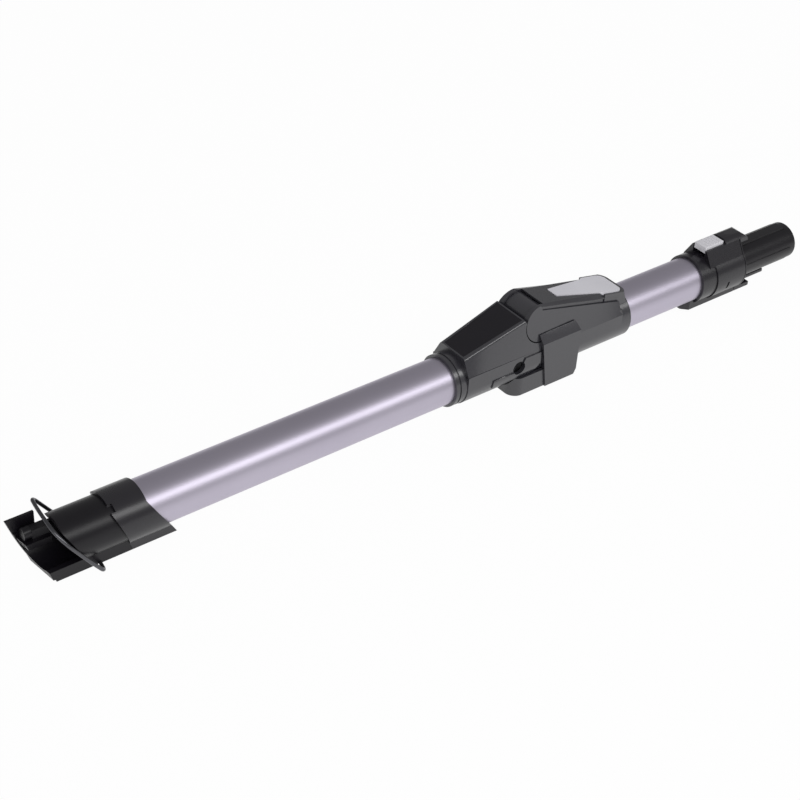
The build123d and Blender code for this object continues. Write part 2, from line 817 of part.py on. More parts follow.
# The upper half of the hinge
with BuildPart() as upper_tube:
    sleeve(upper_tube_start_x, upper_tube_end_x, tube_r, tube_bore_r)
    for plane in upper_screws + collar_screw_planes:
        screw_seat(plane)
write(upper_tube, "upper_tube")

with BuildPart() as upper_wire_duct:
    duct(upper_tube_start_x + cuff_plug + duct_end, upper_tube_end_x - duct_end)
write(upper_wire_duct, "upper_wire_duct")

with BuildPart() as upper_hinge_shell:
    shell_x = pin_x + touch_gap + split_gap
    trough_bar(shell_x, upper_cover_x, shell_half, seam_z)
    trough_bar(shell_x, upper_cover_x, shell_bore_r, seam_z, Mode.SUBTRACT)
    sleeve(upper_cover_x, upper_hinge_x, shell_half, sleeve_r)
    for plane in upper_screws + guard_screw_planes:
        screw_seat(plane)
write(upper_hinge_shell, "upper_hinge_shell")

ear_out = ear_outer(pin_z)
tangent_x = pin_x + ear_r * upper_slope / sqrt(1 + upper_slope**2)
cover_end_x = upper_cover_x - upper_end_rake
pivot_x = pin_x + pivot_back
pivot_z = upper_top_z(pivot_x) - pivot_drop
button_low = button_proud - button_thick


def groove_top_z(x):
    """Upper edge of the groove in the upper cover's side, under the roof's bevel."""
    return upper_top_z(x) - bevel_drop(x) - fit_gap


# The groove that parts the roof from the raised side, as a body to cut with
with BuildPart() as cover_groove:
    groove_start = pin_x + side_groove_lead
    groove_back = upper_cover_x - side_groove_wide
    groove_low_z = seam_z + side_groove_foot
    side_prism([(groove_start, groove_top_z(groove_start) - side_groove_high),
                (groove_start, groove_top_z(groove_start)), (upper_cover_x, groove_top_z(upper_cover_x)),
                (upper_cover_x, groove_low_z), (groove_back, groove_low_z),
                (groove_back, groove_top_z(groove_back) - side_groove_high)], far_out)
    roof_loft(upper_cover_stations(-side_groove_deep, pin_x - ear_r, upper_cover_x + far_out), Mode.SUBTRACT)

# The rim round the button's tail, which stands on the tube's sleeve
with BuildPart() as tail_housing:
    rim_top_z = upper_top_z(upper_cover_x - button_neck)
    extrude(button_outline(slide_gap + tail_rim, rim_top_z), amount=-rim_top_z, taper=-tail_taper)
    rim_start = pin_x + button_front + button_length - button_neck + button_step
    side_prism([(rim_start, tube_r - roof_wall), (upper_hinge_x, tube_r - roof_wall),
                (upper_hinge_x, upper_top_z(upper_hinge_x)), (rim_start, upper_top_z(rim_start))],
               far_out, Mode.INTERSECT)
    block((rim_start, upper_hinge_x), (-upper_side_half, upper_side_half), (0, far_out), Mode.INTERSECT)
    sleeve(upper_cover_x, upper_hinge_x, shell_half + fit_gap / 2, mode=Mode.SUBTRACT)
    button_prism(slide_gap, 0, far_out, Mode.SUBTRACT)

with BuildPart() as upper_hinge_cover:
    roof_loft(upper_cover_stations(0, pin_x - ear_r, upper_cover_x))
    with BuildSketch(Plane.XZ) as profile:
        with BuildLine():
            Polyline((shell_x, seam_z), (upper_cover_x, seam_z), (upper_cover_x, tube_r + roof_wall),
                     (cover_end_x, upper_top_z(cover_end_x)), (tangent_x, upper_top_z(tangent_x)),
                     (shell_x, pin_z), close=True)
        make_face()
        with Locations((pin_x, pin_z)):
            Circle(ear_r)
    extrude(amount=far_out, both=True, mode=Mode.INTERSECT)
    roof_loft(upper_cover_stations(-roof_wall, pin_x + ear_r, cover_end_x - roof_wall), Mode.SUBTRACT)
    back_x = pin_x + ear_r + roof_wall
    side_prism([(pin_x - far_out, 0), (back_x, 0), (back_x, upper_top_z(back_x) - roof_wall),
                (pin_x - far_out, upper_top_z(pin_x - far_out) - roof_wall)], ear_half, Mode.SUBTRACT)
    add(cover_groove.part, mode=Mode.SUBTRACT)
    add(tail_housing.part)
    block((pin_x - far_out, pin_x + roof_lip), (-ear_half, ear_half), (0, far_out), Mode.SUBTRACT)
    cross_round(pin_x, pin_z, pocket_r, ear_half, Mode.SUBTRACT)
    for way in (-1, 1):
        y_range = sorted((way * cheek_half, way * pivot_half))
        cheek_top_z = upper_top_z(pivot_x + cheek_length / 2) - roof_wall / 2
        block((pivot_x - cheek_length / 2, pivot_x + cheek_length / 2), y_range, (cheek_low_z, cheek_top_z))
    cross_round(pivot_x, pivot_z, pivot_r + run_gap, pivot_half + fit_gap, Mode.SUBTRACT)
    sleeve(shell_x, upper_cover_x, sleeve_r, mode=Mode.SUBTRACT)
    button_prism(slide_gap, opening_low_z, far_out, Mode.SUBTRACT)
    with BuildSketch(Plane.XZ.offset(ear_out - pin_end_wall)) as pin_bore:
        with Locations((pin_x, pin_z)):
            Circle(pin_r + fit_gap)
    extrude(amount=-far_out, mode=Mode.SUBTRACT)
    with BuildSketch(Plane.XZ.offset(cap_depth - ear_out)) as cap_seat:
        with Locations((pin_x, pin_z)):
            Circle(cap_r + fit_gap)
    extrude(amount=-far_out, mode=Mode.SUBTRACT)
write(upper_hinge_cover, "upper_hinge_cover")

with BuildPart() as hinge_pin:
    with BuildSketch(Plane.XZ.offset(ear_out - pin_end_wall - fit_gap)) as pin_end:
        with Locations((pin_x, pin_z)):
            Circle(pin_r)
    extrude(amount=-2 * ear_out + pin_end_wall + cap_depth + 2 * fit_gap)
write(hinge_pin, "hinge_pin")

with BuildPart() as pin_cap:
    with BuildSketch(Plane.XZ.offset(cap_depth - ear_out)) as cap:
        with Locations((pin_x, pin_z)):
            Circle(cap_r)
    extrude(amount=-far_out)
    with BuildSketch(Plane.YZ.offset(pin_x - cap_r)) as cut:
        with BuildLine():
            Polyline((0, pin_z - cap_r), (ear_outer(pin_z - cap_r), pin_z - cap_r),
                     (ear_outer(pin_z + cap_r), pin_z + cap_r), (0, pin_z + cap_r), close=True)
        make_face()
    extrude(amount=2 * cap_r, mode=Mode.INTERSECT)
write(pin_cap, "pin_cap")

# The guard under the hinge, with a tongue that reaches forward beneath the lower half
with BuildPart() as guard:
    tongue_x = pin_x - guard_front
    tongue_end_x = pin_x + guard_edge_low + guard_corner_r
    with BuildSketch(Plane.XY.offset(guard_bottom_z)) as tongue:
        with BuildLine():
            Polyline((tongue_x, guard_tongue_half), (tongue_end_x, guard_tongue_half),
                     (tongue_end_x, -guard_tongue_half), (tongue_x, -guard_tongue_half), close=True)
        make_face()
        fillet(tongue.vertices().sort_by(Axis.X)[:2], guard_corner_r)
    extrude(amount=guard_tongue_z - guard_bottom_z)
    guard_back = pin_x + guard_rear
    side_prism([(pin_x - guard_edge_high, guard_top_z), (guard_back - guard_top_back, guard_top_z),
                (guard_back, guard_shoulder_z), (guard_back, guard_bottom_z + guard_heel_z),
                (guard_back - guard_heel_x, guard_bottom_z), (pin_x + guard_edge_low, guard_bottom_z)],
               guard_half)
    low_edges = guard.faces().sort_by(Axis.Z)[0].edges().filter_by(Axis.X)
    fillet(low_edges, guard_fillet)
    for way in (-1, 1):
        with BuildSketch(Plane.YZ.offset(tongue_x)) as shoulder:
            with BuildLine():
                Polyline((way * far_out, guard_shoulder_z), (way * guard_half, guard_shoulder_z),
                         (way * (guard_half - guard_shoulder_in), guard_top_z), (way * far_out, guard_top_z),
                         close=True)
            make_face()
        extrude(amount=far_out, mode=Mode.SUBTRACT)
    trough_bar(pin_x - far_out, pin_x + far_out, shell_half + guard_wrap_gap, seam_z, Mode.SUBTRACT)
    roof_loft(upper_cover_stations(guard_wrap_gap, tongue_x, pin_x + 2 * guard_rear), Mode.SUBTRACT)
    for plane in guard_screw_planes:
        screw_seat(plane)
write(guard, "guard")

with BuildPart() as guard_screws:
    for plane in guard_screw_planes:
        screw(plane, hose_crest_r + move_gap)
write(guard_screws, "guard_screws")

with BuildPart() as upper_hinge_screws:
    for plane in upper_screws:
        screw(plane)
write(upper_hinge_screws, "upper_hinge_screws")

# The release button over the hinge, on its pivot, with a lever to the knuckle and a spring
with BuildPart() as release_button:
    button_prism(0, 0, far_out)
    front_x = pin_x + button_front
    back_x = front_x + button_length
    side_prism([(front_x, upper_top_z(front_x) + button_low), (back_x, upper_top_z(back_x) + button_low),
                (back_x, upper_top_z(back_x) + button_proud), (front_x, upper_top_z(front_x) + button_proud)],
               far_out, Mode.INTERSECT)
    chamfer(release_button.faces().sort_by(Axis.Z)[-1].edges(), button_proud / 2)
    boss_x = pin_x + spring_back
    boss_z = upper_top_z(boss_x + boss_r) + button_low - boss_drop
    with BuildSketch(Plane.XY.offset(boss_z)) as boss:
        with Locations((boss_x, 0)):
            Circle(boss_r)
    extrude(amount=upper_top_z(boss_x) - boss_z)
write(release_button, "release_button")


def lever_point(distance, below):
    """A point under the button, at a distance behind the hinge pin and a depth below the button's face."""
    x = pin_x + distance
    return x, upper_top_z(x) + button_low - below


with BuildPart() as latch_lever:
    nose_r = barrel_r + touch_gap + fit_gap
    nose = []
    for angle in (notch_angle - nose_spread, notch_angle + nose_spread):
        nose.append((pin_x + nose_r * cos(radians(angle)), pin_z + nose_r * sin(radians(angle))))
    side_prism([nose[0], nose[1], lever_point(lever_nose_back, lever_nose_drop),
                lever_point(button_front, lever_neck_drop), lever_point(button_front + lever_neck_step, 0),
                lever_point(button_front + lever_reach, 0),
                lever_point(button_front + lever_reach, lever_thick), (pivot_x, pivot_z - 2 * pivot_r),
                (pivot_x - 2 * pivot_r, pivot_z - pivot_r)], lever_half)
    cross_round(pivot_x, pivot_z, pivot_r + run_gap, far_out, Mode.SUBTRACT)
write(latch_lever, "latch_lever")

with BuildPart() as button_pivot:
    cross_round(pivot_x, pivot_z, pivot_r, pivot_half)
write(button_pivot, "button_pivot")

with BuildPart() as spring_seat:
    seat_z = tube_r + seat_thick
    block((boss_x - seat_half, boss_x + seat_half), (-seat_half, seat_half), (tube_r - seat_thick, seat_z))
    sleeve(boss_x - seat_half, boss_x + seat_half, tube_r + fit_gap / 2, mode=Mode.SUBTRACT)
    with BuildSketch(Plane.XY.offset(seat_z)) as post:
        with Locations((boss_x, 0)):
            Circle(spring_coil_r - 3 * spring_wire_r)
    extrude(amount=seat_thick)
write(spring_seat, "spring_seat")

with BuildPart() as button_spring:
    coil(boss_x, seat_z + run_gap, boss_z - run_gap, spring_turns)
write(button_spring, "button_spring")

# The handle end: collar with turret and rail, catch button, hood, spigot and contact tongue
catch_x = -catch_back
catch_end_x = catch_x + catch_length
hood_x = -hood_back
tongue_low_z = -spigot_r - tongue_drop - tongue_thick
tongue_top_z = -spigot_r - tongue_drop
tongue_root_x = -rail_tail
with BuildPart() as spigot_collar:
    swept_rail(-collar_length - rail_lead, rail_tail, -collar_r - rail_proud)
    sleeve(-collar_length, 0, neck_r)
    sleeve(neck_length - collar_length, 0, collar_r)
    block((0, rail_toe), (-rail_half, rail_half), (-collar_r - rail_proud, rail_toe_z))
    with BuildSketch(Plane.YZ.offset(-turret_length)) as turret:
        with BuildLine():
            Polyline((-turret_foot_half, 0), (turret_foot_half, 0), (turret_foot_half, turret_foot_z),
                     (turret_half, turret_z), (-turret_half, turret_z), (-turret_foot_half, turret_foot_z),
                     close=True)
        make_face()
    extrude(amount=turret_length)
    sleeve(-collar_length - rail_lead, upper_tube_end_x + fit_gap, sleeve_r, mode=Mode.SUBTRACT)
    sleeve(upper_tube_end_x, rail_tail, spigot_r + fit_gap, mode=Mode.SUBTRACT)
    block((catch_x - 2 * slide_gap, catch_end_x + slide_gap),
          (-catch_half - slide_gap, catch_half + slide_gap), (catch_floor_z, far_out), Mode.SUBTRACT)
    block((tongue_root_x, rail_toe), (-tongue_half - fit_gap, tongue_half + fit_gap),
          (tongue_low_z - fit_gap, tongue_top_z + fit_gap), Mode.SUBTRACT)
    for way in (-1, 1):
        with BuildSketch(radial_plane(-grip_slot_back, 90 + way * grip_slot_angle, collar_r)) as slot:
            Rectangle(grip_slot_width, grip_slot_height)
        extrude(amount=-2 * groove_depth, mode=Mode.SUBTRACT)
    groove_x = -collar_groove_back
    sleeve(groove_x, groove_x + collar_groove_width, far_out, collar_r - groove_depth, Mode.SUBTRACT)
    for plane in collar_screw_planes:
        screw_seat(plane)
write(spigot_collar, "spigot_collar")

with BuildPart() as collar_screws:
    for plane in collar_screw_planes:
        screw(plane)
write(collar_screws, "collar_screws")

with BuildPart() as catch_button:
    catch_low_z = catch_floor_z + catch_travel + touch_gap
    block((catch_x, catch_end_x), (-catch_half, catch_half), (catch_low_z, catch_top_z - catch_rib))
    rib_pitch = catch_length / (catch_ribs + 1)
    for rib in range(catch_ribs):
        rib_x = catch_x + rib_pitch * (rib + 1)
        cross_round(rib_x, catch_top_z - catch_rib, catch_rib, catch_half - catch_rib)
    block((catch_x + catch_roof, catch_end_x - catch_roof), (catch_roof - catch_half, catch_half - catch_roof),
          (catch_low_z, catch_top_z - catch_rib - catch_roof), Mode.SUBTRACT)
write(catch_button, "catch_button")

with BuildPart() as catch_spring:
    coil((catch_x + catch_end_x) / 2, catch_floor_z + run_gap, catch_top_z - catch_rib - catch_roof - run_gap,
         spring_turns)
write(catch_spring, "catch_spring")

with BuildPart() as button_hood:
    with BuildSketch(Plane.YZ.offset(hood_x)) as arch:
        with BuildLine():
            Polyline((-hood_half, hood_z - hood_side_drop), (-hood_half, spigot_r + key_half),
                     (hood_half, spigot_r + key_half), (hood_half, hood_z - hood_side_drop))
            ThreePointArc((hood_half, hood_z - hood_side_drop), (0, hood_z),
                          (-hood_half, hood_z - hood_side_drop))
        make_face()
    extrude(amount=hood_back + hood_tail)
    side_prism([(hood_x, turret_z), (0, turret_z), (0, collar_r + touch_gap), (hood_tail, collar_r + touch_gap),
                (hood_tail, hood_tail_z), (hood_tail - hood_heel, hood_tail_z + hood_heel_rise),
                (hood_tail - hood_crown_end, hood_z - hood_lip), (hood_x + hood_crown_start, hood_z),
                (hood_x, hood_z - hood_lip)], far_out, Mode.INTERSECT)
write(button_hood, "button_hood")

with BuildPart() as spigot:
    sleeve(-spigot_insert, spigot_length - lead_length, spigot_r)
    sleeve(spigot_length - lead_length, spigot_length, spigot_r - lead_drop)
    block((fit_gap, key_length), (-key_half, key_half), (0, spigot_r + key_proud))
    for way in (-1, 1):
        rib_plane = radial_plane((key_length + fit_gap) / 2, 90 + way * rib_angle, spigot_r - spigot_wall / 2)
        with BuildSketch(rib_plane) as rib:
            Rectangle(key_length - fit_gap, 2 * rib_half)
        extrude(amount=spigot_wall / 2 + key_proud)
        with BuildSketch(radial_plane((key_length + fit_gap) / 2, 90 + way * groove_angle, spigot_r)) as groove:
            Rectangle(key_length - fit_gap, 2 * groove_half)
        extrude(amount=-groove_depth, mode=Mode.SUBTRACT)
    sleeve(-spigot_insert, spigot_length, spigot_r - spigot_wall, mode=Mode.SUBTRACT)
    chamfer(spigot.faces().sort_by(Axis.X)[-1].edges().sort_by(SortBy.LENGTH)[-1], tip_chamfer)
write(spigot, "spigot")

blade_x = tongue_length - blade_length - 2
with BuildPart() as contact_tongue:
    block((tongue_root_x + fit_gap, tongue_length), (-tongue_half, tongue_half), (tongue_low_z, tongue_top_z))
    chamfer(contact_tongue.faces().sort_by(Axis.X)[-1].edges(), tongue_thick / 4)
    for y in (-blade_pitch / 2, blade_pitch / 2):
        block((blade_x, blade_x + blade_length), (y - blade_half, y + blade_half),
              (tongue_top_z - blade_thick, tongue_top_z), Mode.SUBTRACT)
write(contact_tongue, "contact_tongue")

with BuildPart() as contact_blades:
    for y in (-blade_pitch / 2, blade_pitch / 2):
        block((blade_x + fit_gap, blade_x + blade_length - fit_gap), (y - blade_half + fit_gap,
              y + blade_half - fit_gap), (tongue_top_z - blade_thick, tongue_top_z))
write(contact_blades, "contact_blades")
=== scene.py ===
# %% [markdown]
# # A folding vacuum wand, dressed for a studio photograph
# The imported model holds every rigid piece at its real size. This lesson loads it as a fixed frame, rounds
# the moulded edges, makes the hose and the springs as surfaces, and gives each piece its finish.

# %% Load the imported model
import json
import math

import bmesh
import bpy
import numpy as np
from mathutils import Matrix, Vector


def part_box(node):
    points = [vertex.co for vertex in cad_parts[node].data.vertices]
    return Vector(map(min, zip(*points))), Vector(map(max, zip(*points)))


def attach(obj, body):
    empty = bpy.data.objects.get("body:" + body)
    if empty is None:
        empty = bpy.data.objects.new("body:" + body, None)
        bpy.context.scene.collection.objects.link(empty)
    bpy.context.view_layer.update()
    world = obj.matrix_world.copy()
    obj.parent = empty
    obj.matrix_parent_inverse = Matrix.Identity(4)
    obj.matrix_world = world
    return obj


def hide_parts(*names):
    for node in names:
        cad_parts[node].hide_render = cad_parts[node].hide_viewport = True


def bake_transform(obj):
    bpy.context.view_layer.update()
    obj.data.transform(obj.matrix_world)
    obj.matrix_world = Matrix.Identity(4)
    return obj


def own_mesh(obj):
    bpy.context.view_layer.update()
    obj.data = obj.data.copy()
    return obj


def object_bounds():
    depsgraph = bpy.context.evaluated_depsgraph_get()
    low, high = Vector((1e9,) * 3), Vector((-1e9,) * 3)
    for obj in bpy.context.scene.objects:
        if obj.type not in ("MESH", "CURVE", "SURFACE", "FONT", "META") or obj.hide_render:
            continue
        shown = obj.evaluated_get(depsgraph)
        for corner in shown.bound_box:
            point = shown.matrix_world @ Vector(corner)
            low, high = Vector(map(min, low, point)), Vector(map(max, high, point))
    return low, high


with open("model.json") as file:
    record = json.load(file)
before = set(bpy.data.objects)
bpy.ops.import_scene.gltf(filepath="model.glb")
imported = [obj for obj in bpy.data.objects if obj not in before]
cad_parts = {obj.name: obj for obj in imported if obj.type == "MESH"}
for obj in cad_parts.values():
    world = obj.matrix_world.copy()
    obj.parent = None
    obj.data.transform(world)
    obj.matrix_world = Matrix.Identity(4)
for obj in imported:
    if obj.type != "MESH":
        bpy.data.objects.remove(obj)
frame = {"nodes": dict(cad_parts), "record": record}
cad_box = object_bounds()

millimetre = 0.001
nodes = frame["nodes"]
body_of_node = {node: body for body, members in frame["record"]["behaviour"]["bodies"].items()
                for node in members}
slot_of_node = {part["node"]: part["material_slot"] for part in frame["record"]["subparts"]}

# %% [markdown]
# ## Camera
# The photograph was taken from above the floor end, on the near side. A camera can be aimed at a target
# by hand, but here its three axes are given as directions, because its place and its turn come straight
# from the perspective of the two tubes.

# %% Camera
camera_place = Vector((-0.9497, -0.7306, 0.7031))
camera_right = Vector((0.78900726, -0.61168987, 0.05747218))
camera_up = Vector((0.32770855, 0.49813233, 0.80278969))
camera_back = camera_right.cross(camera_up)
camera = bpy.data.objects.new("camera", bpy.data.cameras.new("camera"))
camera.data.lens = 76.5
camera.data.sensor_width = 36.0
camera.matrix_world = (Matrix.Translation(camera_place)
                       @ Matrix((camera_right, camera_up, camera_back)).transposed().to_4x4())
bpy.context.scene.collection.objects.link(camera)
bpy.context.scene.camera = camera
bpy.context.scene.view_settings.view_transform = "Standard"
print("camera looks along", [round(-c, 3) for c in camera_back])

# %% [markdown]
# ## Shader arithmetic
# A finish is a small sum over the surface. Its nodes could be dragged together by hand, but wrapping a
# socket in a class that knows + and * lets the sum be written as it would be on paper.


# %% Readings
class Reading:
    """A shader socket that can be reckoned with as if it were a number."""

    def __init__(self, sheet, socket):
        self.sheet = sheet
        self.socket = socket

    def reckon(self, operation, first, second):
        """A Math node on two values."""
        return self.sheet.node("ShaderNodeMath", {"operation": operation}, {0: first, 1: second})

    def __add__(self, other):
        return self.reckon("ADD", self, other)

    def __radd__(self, other):
        return self.reckon("ADD", other, self)

    def __sub__(self, other):
        return self.reckon("SUBTRACT", self, other)

    def __rsub__(self, other):
        return self.reckon("SUBTRACT", other, self)

    def __mul__(self, other):
        return self.reckon("MULTIPLY", self, other)

    def __rmul__(self, other):
        return self.reckon("MULTIPLY", other, self)


print("readings can be added, subtracted and multiplied")


# %% Sheets of nodes
class Sheet:
    """A tree of shader nodes, to which one method adds every kind of node."""

    def __init__(self, tree):
        self.tree = tree

    def node(self, kind, settings=None, inputs=None, output=0):
        """Add a node: first its settings, then the values or links of its sockets."""
        made = self.tree.nodes.new(kind)
        for setting, value in (settings or {}).items():
            setattr(made, setting, value)
        for socket, value in (inputs or {}).items():
            if isinstance(value, Reading):
                self.tree.links.new(value.socket, made.inputs[socket])
            else:
                made.inputs[socket].default_value = value
        return Reading(self, made.outputs[output])

    def ray(self, kind):
        """1 where light arrives on a ray of the named kind, and 0 elsewhere."""
        return self.node("ShaderNodeLightPath", output=f"Is {kind} Ray")


print("sheets take any node")

# %% [markdown]
# A material is a sheet that ends in the Principled shader. Patterns read Object coordinates, so they stay
# put on a piece that moves. A Mix node's colour sockets share their names with others, so they are picked
# by number.

# %% Materials
mix_low, mix_high, mix_result = 6, 7, 2


class Finish(Sheet):
    """A material in the making, with the shader's constant values set."""

    def __init__(self, name, constants):
        self.material = bpy.data.materials.new(name)
        self.material.use_nodes = True
        super().__init__(self.material.node_tree)
        self.shader = self.tree.nodes["Principled BSDF"]
        for socket, value in constants.items():
            self.shader.inputs[socket].default_value = value

    def feed(self, socket, reading):
        """Link a varying value to the shader."""
        self.tree.links.new(reading.socket, self.shader.inputs[socket])

    def noise(self, size, stretch=(1.0, 1.0, 1.0), detail=3.0):
        """Cloudy noise from 0 to 1, whose blots are about the given size in metres."""
        spot = self.node("ShaderNodeTexCoord", output="Object")
        place = self.node("ShaderNodeMapping", {}, {"Vector": spot, "Scale": stretch})
        return self.node("ShaderNodeTexNoise", {}, {"Vector": place, "Scale": 1.0 / size, "Detail": detail})

    def blend(self, share, low, high):
        """A colour between two others."""
        return self.node("ShaderNodeMix", {"data_type": "RGBA"},
                         {"Factor": share, mix_low: (*low, 1.0), mix_high: (*high, 1.0)}, mix_result)

    def relief(self, height, depth):
        """A bump whose hills are depth metres high."""
        self.feed("Normal", self.node("ShaderNodeBump", {}, {"Height": height, "Distance": depth}))


print("materials have colour, gloss and relief")

# %% [markdown]
# ## Metal
# The tubes are drawn aluminium, anodised in a pale lilac grey, with faint lines along the draw. The lines
# could be an image, but a noise that is long one way and short the other has no seam round the tube.

# %% Drawn and anodised metal
line_width = 0.4 * millimetre
line_stretch = (0.004, 1.0, 1.0)
line_detail = 4.0
line_gloss = 0.08
line_depth = 0.6e-6
metal_cloud = 50.0 * millimetre


def drawn_metal(name, low, high, roughness):
    """Metal whose colour drifts from low to high in clouds, and whose gloss and relief follow the lines."""
    finish = Finish(name, {"Metallic": 1.0})
    lines = finish.noise(line_width, line_stretch, line_detail)
    finish.feed("Base Color", finish.blend(finish.noise(metal_cloud), low, high))
    finish.feed("Roughness", roughness - line_gloss / 2 + line_gloss * lines)
    finish.relief(lines, line_depth)
    return finish.material


tube_lilac = drawn_metal("anodised_lilac", (0.56, 0.52, 0.62), (0.62, 0.58, 0.68), 0.42)
steel = drawn_metal("bright_steel", (0.52, 0.52, 0.53), (0.64, 0.64, 0.66), 0.24)
graphite = drawn_metal("graphite_wire", (0.10, 0.10, 0.11), (0.14, 0.14, 0.15), 0.30)
brass = drawn_metal("contact_brass", (0.66, 0.50, 0.24), (0.78, 0.62, 0.32), 0.28)
print(len(bpy.data.materials), "metals")

# %% [markdown]
# ## Plastic and rubber
# The housings are moulded in black plastic with a fine spark-eroded grain, which softens reflections. The
# grain is far too fine to model, so it is a shallow relief. Hinge, end fittings and inlay are different
# blacks, and the hinge shines most. The foot of the groove in the hinge's side gets a still darker matt
# black, which is painted shade standing in for the shadow in the groove.

# %% Moulded plastic
plastic_cloud = 30.0 * millimetre
plastic_grain = 0.5 * millimetre
grain_detail = 2.0
cloud_gloss = 0.06
grain_gloss = 0.04
coat_roughness = 0.12


def moulded_plastic(name, low, high, roughness, grain_depth, ior=1.5, coat=0.0):
    """Plastic whose gloss drifts slowly over the surface and whose grain is a shallow, fine noise."""
    finish = Finish(name, {"IOR": ior, "Coat Weight": coat, "Coat Roughness": coat_roughness})
    cloud = finish.noise(plastic_cloud)
    grain = finish.noise(plastic_grain, detail=grain_detail)
    finish.feed("Base Color", finish.blend(cloud, low, high))
    even = roughness - (cloud_gloss + grain_gloss) / 2
    finish.feed("Roughness", even + cloud_gloss * cloud + grain_gloss * grain)
    finish.relief(grain, grain_depth)
    return finish.material


black = moulded_plastic("satin_black", (0.024, 0.023, 0.029), (0.032, 0.031, 0.038), 0.25, 3e-6, ior=1.8)
collar_black = moulded_plastic("collar_black", (0.010, 0.009, 0.012), (0.015, 0.013, 0.018), 0.28, 4e-6,
                               ior=1.6)
dull_black = moulded_plastic("dull_black", (0.005, 0.004, 0.006), (0.008, 0.007, 0.010), 0.34, 5e-6,
                             ior=1.42)
# Painted shade: a near-black matt finish that stands in for the shadow at the foot of the upper cover's side
# groove.
groove_painted_shade = moulded_plastic("groove_painted_shade", (0.002, 0.002, 0.003), (0.004, 0.004, 0.005), 0.7, 5e-6,
                               ior=1.2)
inlay_dark = moulded_plastic("inlay_charcoal", (0.007, 0.006, 0.009), (0.011, 0.009, 0.014), 0.46, 5e-6,
                             ior=1.4)
button_grey = moulded_plastic("button_silver_grey", (0.66, 0.65, 0.70), (0.74, 0.73, 0.78), 0.36, 3e-6)
catch_silver = moulded_plastic("catch_silver", (0.68, 0.67, 0.71), (0.78, 0.77, 0.81), 0.26, 2e-6, coat=0.5)
duct_grey = moulded_plastic("duct_grey", (0.10, 0.10, 0.11), (0.14, 0.14, 0.15), 0.55, 5e-6)
rubber = moulded_plastic("hose_rubber", (0.020, 0.020, 0.022), (0.034, 0.034, 0.036), 0.62, 8e-6)
print(len(bpy.data.materials), "metals, plastics and rubber")

# %% [markdown]
# ## A finish for every piece
# A piece takes the finish of its material, unless it is one of the end fittings: their blacks are duller
# than the hinge's, and the wire ring is darker than the other steel.

# %% Who wears what
finish_of_slot = {
    "tube_aluminium": tube_lilac, "black_plastic": black, "inlay_plastic": inlay_dark,
    "button_plastic": button_grey, "catch_plastic": catch_silver, "duct_plastic": duct_grey,
    "hose_rubber": rubber, "steel": steel, "contact_brass": brass,
}
finish_of_node = {
    "wire_ring": graphite, "spigot_collar": collar_black, "socket_collar": collar_black,
    "socket_shell": dull_black, "terminal_block": dull_black, "button_hood": collar_black,
    "spigot": dull_black, "contact_tongue": collar_black,
}


def finish_for(node):
    """The finish of a node: its own where it differs from its slot's."""
    return finish_of_node.get(node, finish_of_slot[slot_of_node[node]])


for node, part in nodes.items():
    part.data.materials.clear()
    part.data.materials.append(finish_for(node))
print(len(nodes), "nodes have a finish")

# %% [markdown]
# ## Rounded mouldings
# No moulding has a knife edge. A Bevel modifier needs faces that share edges, and a solid's triangles are
# loose. So each outer moulding is copied, its triangles are joined and its flat faces made whole, and
# then every sharp edge with room for it is rounded. The guard, the hood and the tongue have larger radii
# along their long edges, which are cut first.

# %% Edges to round
sharp_angle = math.radians(28)
flat_angle = math.radians(0.6)
weld_distance = 1e-6
shortest = 1e-9
room_for_radius = 2.2
long_edge = 8.0 * millimetre


def roomy(edge, radius):
    """Whether both faces beside an edge are wide enough for a rounding, by area over the edge's length."""
    length = max(edge.calc_length(), shortest)
    return all(face.calc_area() / length > room_for_radius * radius for face in edge.link_faces)


def edges_to_round(shape, radius):
    """The sharp edges that have room for a radius on both sides."""
    return [edge for edge in shape.edges
            if edge.is_manifold and edge.calc_face_angle(0.0) > sharp_angle and roomy(edge, radius)]


def long_ones(edges):
    """Those of some edges whose ends lie further apart than a long edge's."""
    ends = np.array([[tuple(v.co) for v in edge.verts] for edge in edges]).reshape(-1, 2, 3)
    lengths = np.linalg.norm(ends[:, 1] - ends[:, 0], axis=1)
    return [edge for edge, length in zip(edges, lengths) if length > long_edge]


print("edges sharper than", round(math.degrees(sharp_angle)), "degrees are rounded")

# %% Pieces from shapes
moulding_crease = math.radians(40)


def smooth_piece(mesh, shape, crease):
    """An object from a shape, shaded smooth up to the crease angle."""
    shape.to_mesh(mesh)
    shape.free()
    mesh.polygons.foreach_set("use_smooth", np.ones(len(mesh.polygons), bool))
    mesh.set_sharp_from_angle(angle=crease)
    piece = bpy.data.objects.new(mesh.name, mesh)
    bpy.context.scene.collection.objects.link(piece)
    print(mesh.name, "made:", len(mesh.polygons), "faces")
    return piece


def round_off(shape, edges, radius, segments):
    """Round some edges of a shape, if there are any."""
    if edges:
        bmesh.ops.bevel(shape, geom=edges, offset=radius, segments=segments, profile=0.5,
                        affect="EDGES", clamp_overlap=True)


def rounded(node, radius, long_radius=0.0):
    """A copy of a node with its convex and concave edges rounded, the long ones by a larger radius."""
    shape = bmesh.new()
    shape.from_mesh(nodes[node].data)
    bmesh.ops.remove_doubles(shape, verts=shape.verts, dist=weld_distance)
    bmesh.ops.dissolve_limit(shape, angle_limit=flat_angle, verts=shape.verts, edges=shape.edges)
    if long_radius:
        round_off(shape, long_ones(edges_to_round(shape, long_radius)), long_radius, segments=5)
    round_off(shape, edges_to_round(shape, radius), radius, segments=3)
    piece = smooth_piece(bpy.data.meshes.new(f"{node}_rounded"), shape, moulding_crease)
    flatter = piece.modifiers.new("flat faces stay flat", "WEIGHTED_NORMAL")
    flatter.keep_sharp = True
    piece.data.materials.append(finish_for(node))
    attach(piece, body_of_node[node])
    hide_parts(node)
    return piece


